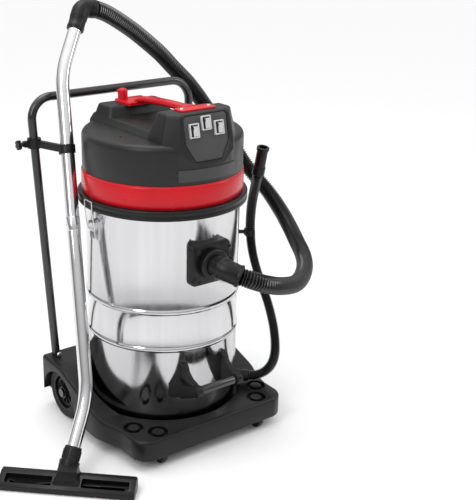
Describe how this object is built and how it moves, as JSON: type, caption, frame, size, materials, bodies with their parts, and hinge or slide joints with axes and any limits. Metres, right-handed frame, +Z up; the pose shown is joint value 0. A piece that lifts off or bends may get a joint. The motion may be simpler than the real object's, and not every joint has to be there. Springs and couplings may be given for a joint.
{
  "type": "wet and dry vacuum cleaner",
  "caption": "Wet and dry shop vacuum: polished steel tank on a wheeled trolley with a push frame, lift-off motor head, suction hose, bent wand and floor tool.",
  "frame": {"origin": "on the floor, under the middle of the bounding box of everything but the two hoses and the drain cuff", "axes": "+Z up; -Y is the front, where the inlet and the switches are; +X is the side of the drain hose; the wheels' axles lie along X"},
  "size_m": [1.1558, 0.7114, 1.21],
  "materials": {
    "black_plastic": "fine texture",
    "cover_plastic": "satin",
    "plate_grey": "satin",
    "red_plastic": "gloss",
    "tank_steel": "polished",
    "zinc_steel": "zinc plated",
    "wand_steel": "polished",
    "bezel_silver": "metallised",
    "black_paint": "semi gloss",
    "black_rubber": "matte",
    "hose_plastic": "satin",
    "cast_alloy": "cast",
    "white_plastic": "satin",
    "filter_cloth": "woven"
  },
  "bodies": {
    "trolley": {"chassis": "black_plastic", "well_plate": "black_plastic", "wheel_axles": "zinc_steel", "push_frame": "black_paint", "wand_clip": "black_plastic", "hose_clip": "black_plastic", "clip_knob": "black_plastic", "tank": "tank_steel", "inlet_bezel": "black_plastic", "inlet_socket": "black_plastic", "inlet_deflector": "black_plastic", "drain_fitting": "black_plastic", "drain_hose": "hose_plastic", "drain_cuff": "black_plastic", "tip_arms": "black_plastic", "tip_bar": "black_paint", "tank_screws": "zinc_steel", "latch_plates": "zinc_steel", "caster_plates": "zinc_steel", "suction_hose": "hose_plastic", "inlet_cuff": "black_plastic", "wand_elbow": "black_plastic", "wand_upper": "wand_steel", "wand_lower": "wand_steel", "tool_collar": "black_plastic", "tool_body": "black_plastic", "tool_strips": "black_rubber"},
    "head": {"lid_ring": "black_plastic", "red_band": "red_plastic", "motor_cover": "cover_plastic", "switch_panel": "cover_plastic", "name_plate": "plate_grey", "switch_bezels": "bezel_silver", "carry_handle": "red_plastic", "handle_screws": "zinc_steel", "cord_hook": "red_plastic", "cable_gland": "black_plastic", "motor_deck": "black_plastic", "motor_housings": "cast_alloy", "float_cage": "black_plastic", "cloth_filter": "filter_cloth"},
    "rocker_left": {"rocker_left": "bezel_silver"},
    "rocker_middle": {"rocker_middle": "bezel_silver"},
    "rocker_right": {"rocker_right": "bezel_silver"},
    "latch_lever_left": {"latch_lever_left": "zinc_steel"},
    "latch_lever_right": {"latch_lever_right": "zinc_steel"},
    "latch_bail_left": {"latch_bail_left": "zinc_steel"},
    "latch_bail_right": {"latch_bail_right": "zinc_steel"},
    "caster_fork_left": {"caster_fork_left": "zinc_steel"},
    "caster_fork_right": {"caster_fork_right": "zinc_steel"},
    "caster_wheel_left": {"caster_wheel_left": "black_plastic"},
    "caster_wheel_right": {"caster_wheel_right": "black_plastic"},
    "rotor_front": {"rotor_front": "cast_alloy"},
    "rotor_left": {"rotor_left": "cast_alloy"},
    "rotor_right": {"rotor_right": "cast_alloy"},
    "float_ball": {"float_ball": "white_plastic"},
    "rear_wheel_left": {"rear_tyre_left": "black_rubber", "rear_hub_left": "black_plastic"},
    "rear_wheel_right": {"rear_tyre_right": "black_rubber", "rear_hub_right": "black_plastic"}
  },
  "joints": [
    {"name": "head_lift", "type": "slide", "parent": "trolley", "child": "head", "axis": [0, 0, 1], "range_m": [0, 0.32]},
    {"name": "rocker_left_tip", "type": "hinge", "parent": "head", "child": "rocker_left", "pos_m": [0.1058, -0.1638, 0.91602], "axis": [1, 0, 0], "range_deg": [-18, 0]},
    {"name": "rocker_middle_tip", "type": "hinge", "parent": "head", "child": "rocker_middle", "pos_m": [0.1458, -0.1604, 0.93202], "axis": [1, 0, 0], "range_deg": [-18, 0]},
    {"name": "rocker_right_tip", "type": "hinge", "parent": "head", "child": "rocker_right", "pos_m": [0.1858, -0.1638, 0.91602], "axis": [1, 0, 0], "range_deg": [-18, 0]},
    {"name": "latch_left_open", "type": "hinge", "parent": "trolley", "child": "latch_lever_left", "pos_m": [-0.0832, 0.0302, 0.644], "axis": [0, 1, 0], "range_deg": [0, 100]},
    {"name": "latch_right_open", "type": "hinge", "parent": "trolley", "child": "latch_lever_right", "pos_m": [0.3748, 0.0302, 0.644], "axis": [0, -1, 0], "range_deg": [0, 100]},
    {"name": "bail_left_turn", "type": "hinge", "parent": "latch_lever_left", "child": "latch_bail_left", "pos_m": [-0.0897, 0.0302, 0.633], "axis": [0, 1, 0], "range_deg": [-100, 0]},
    {"name": "bail_right_turn", "type": "hinge", "parent": "latch_lever_right", "child": "latch_bail_right", "pos_m": [0.3813, 0.0302, 0.633], "axis": [0, -1, 0], "range_deg": [-100, 0]},
    {"name": "rear_spin_left", "type": "hinge", "parent": "trolley", "child": "rear_wheel_left", "pos_m": [-0.1092, 0.1602, 0.08], "axis": [1, 0, 0], "continuous": true},
    {"name": "rear_spin_right", "type": "hinge", "parent": "trolley", "child": "rear_wheel_right", "pos_m": [0.4008, 0.1602, 0.08], "axis": [1, 0, 0], "continuous": true},
    {"name": "caster_swivel_left", "type": "hinge", "parent": "trolley", "child": "caster_fork_left", "pos_m": [-0.0262, -0.1958, 0.057], "axis": [0, 0, 1], "continuous": true},
    {"name": "caster_swivel_right", "type": "hinge", "parent": "trolley", "child": "caster_fork_right", "pos_m": [0.3178, -0.1958, 0.057], "axis": [0, 0, 1], "continuous": true},
    {"name": "caster_spin_left", "type": "hinge", "parent": "caster_fork_left", "child": "caster_wheel_left", "pos_m": [-0.0262, -0.2128, 0.025], "axis": [1, 0, 0], "continuous": true},
    {"name": "caster_spin_right", "type": "hinge", "parent": "caster_fork_right", "child": "caster_wheel_right", "pos_m": [0.3178, -0.2128, 0.025], "axis": [1, 0, 0], "continuous": true},
    {"name": "rotor_front_spin", "type": "hinge", "parent": "head", "child": "rotor_front", "pos_m": [0.1458, -0.0678, 0.76], "axis": [0, 0, 1], "continuous": true},
    {"name": "rotor_right_spin", "type": "hinge", "parent": "head", "child": "rotor_right", "pos_m": [0.23067, 0.0792, 0.76], "axis": [0, 0, 1], "continuous": true},
    {"name": "rotor_left_spin", "type": "hinge", "parent": "head", "child": "rotor_left", "pos_m": [0.06093, 0.0792, 0.76], "axis": [0, 0, 1], "continuous": true},
    {"name": "float_rise", "type": "slide", "parent": "head", "child": "float_ball", "axis": [0, 0, 1], "range_m": [0, 0.066]}
  ],
  "couplings": [
    {"joint": "bail_left_turn", "follows": "latch_left_open", "ratio": -1},
    {"joint": "bail_right_turn", "follows": "latch_right_open", "ratio": -1}
  ]
}
